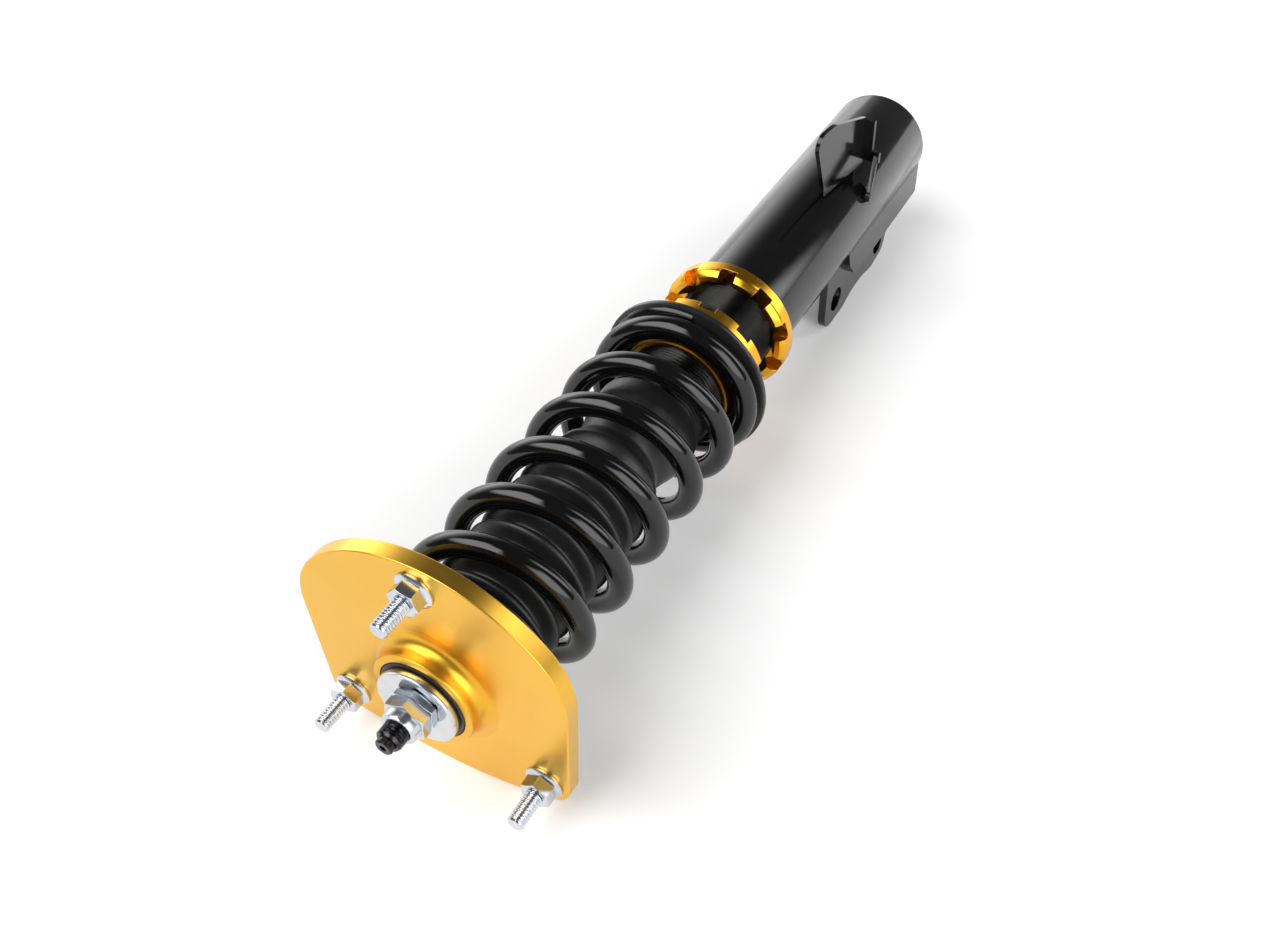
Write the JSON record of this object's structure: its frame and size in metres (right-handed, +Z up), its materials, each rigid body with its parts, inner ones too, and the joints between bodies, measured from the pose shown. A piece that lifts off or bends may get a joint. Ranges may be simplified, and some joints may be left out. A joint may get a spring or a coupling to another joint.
{
  "type": "coilover strut",
  "caption": "Height-adjustable coilover suspension strut: top mount plate with studs, coil spring over a booted damper, threaded body with castellated rings and a clevis-type knuckle bracket.",
  "frame": {"origin": "middle of the bounding box's bottom face, on the floor the strut lies on", "axes": "+X along the strut axis from the top mount to the knuckle bracket; +Z up, away from the floor; +Y to the left when looking along +X"},
  "size_m": [0.5152, 0.1308, 0.1268],
  "materials": {
    "gold_anodised": "satin gold anodised",
    "gold_ring": "bright gold anodised, turned",
    "zinc_steel": "bright zinc plated steel",
    "plain_steel": "plain machined steel",
    "black_oxide_steel": "black oxide steel",
    "plain_aluminium": "plain machined aluminium",
    "black_rubber": "satin black rubber",
    "foam_rubber": "cellular polyurethane",
    "seal_plastic": "filled PTFE",
    "gloss_black_spring": "gloss black powder coat",
    "black_powder_coat": "satin black powder coat",
    "satin_black_body": "satin black, threaded",
    "gloss_black_tube": "gloss black powder coat",
    "gloss_black_bracket": "gloss black powder coat on pressed steel"
  },
  "bodies": {
    "lower_mount": {"lower_mount_tube": "gloss_black_tube", "tube_end_cap": "gloss_black_tube", "left_knuckle_ear": "gloss_black_bracket", "right_knuckle_ear": "gloss_black_bracket", "left_ear_rail": "gloss_black_bracket", "right_ear_rail": "gloss_black_bracket", "hose_bracket": "gloss_black_bracket"},
    "lock_ring": {"lower_lock_ring": "gold_ring"},
    "damper": {"damper_body": "satin_black_body", "gland_nut": "plain_aluminium", "rod_seal": "black_rubber", "rod_guide": "plain_aluminium", "body_base_cap": "plain_steel", "dust_boot": "black_rubber"},
    "spring_carrier": {"lower_spring_seat": "black_powder_coat", "coil_spring": "gloss_black_spring"},
    "perch": {"spring_perch": "gold_ring"},
    "rod": {"piston_rod": "black_oxide_steel", "bush_sleeve": "plain_steel", "top_washer": "zinc_steel", "rod_jam_nut": "zinc_steel", "rod_lock_nut": "zinc_steel", "bearing_lower_race": "plain_steel", "upper_spring_seat": "black_powder_coat", "bump_stop": "foam_rubber", "piston": "plain_aluminium", "piston_band": "seal_plastic", "compression_shims": "plain_steel", "rebound_shims": "plain_steel", "piston_nut": "plain_steel"},
    "adjuster": {"damping_adjuster": "black_oxide_steel"},
    "floating_piston": {"floating_piston": "plain_aluminium", "floating_piston_ring": "black_rubber"},
    "top_mount": {"top_plate": "gold_anodised", "mount_boss": "gold_anodised", "top_studs": "zinc_steel", "stud_flange_nuts": "zinc_steel", "mount_bush": "black_rubber", "bearing_upper_race": "plain_steel", "bearing_balls": "plain_steel"}
  },
  "joints": [
    {"name": "lock_ring_spin", "type": "hinge", "parent": "lower_mount", "child": "lock_ring", "pos_m": [0, 0, 0.0543], "axis": [1, 0, 0], "range_deg": [-1810, 5410]},
    {"name": "ride_height", "type": "slide", "parent": "lower_mount", "child": "damper", "axis": [1, 0, 0], "range_m": [-0.03, 0.01]},
    {"name": "perch_spin", "type": "hinge", "parent": "spring_carrier", "child": "perch", "pos_m": [0, 0, 0.0543], "axis": [1, 0, 0], "range_deg": [-10, 2170]},
    {"name": "perch_height", "type": "slide", "parent": "damper", "child": "spring_carrier", "axis": [1, 0, 0], "range_m": [0, 0.012]},
    {"name": "rod_slide", "type": "slide", "parent": "damper", "child": "rod", "axis": [1, 0, 0], "range_m": [0, 0.08], "stiffness_N_per_m": 45000, "deforming": ["coil_spring", "dust_boot"]},
    {"name": "gas_piston_slide", "type": "slide", "parent": "damper", "child": "floating_piston", "axis": [1, 0, 0], "range_m": [0, 0.0065]},
    {"name": "steer_turn", "type": "hinge", "parent": "rod", "child": "top_mount", "pos_m": [0, 0, 0.0543], "axis": [1, 0, 0], "range_deg": [-45, 45]},
    {"name": "adjuster_turn", "type": "hinge", "parent": "rod", "child": "adjuster", "pos_m": [0, 0, 0.0543], "axis": [1, 0, 0], "range_deg": [0, 720]}
  ],
  "couplings": [
    {"joint": "lock_ring_spin", "follows": "ride_height", "rad_per_m": -3141.6},
    {"joint": "perch_spin", "follows": "perch_height", "rad_per_m": 3141.6},
    {"joint": "gas_piston_slide", "follows": "rod_slide", "ratio": 0.0772}
  ]
}
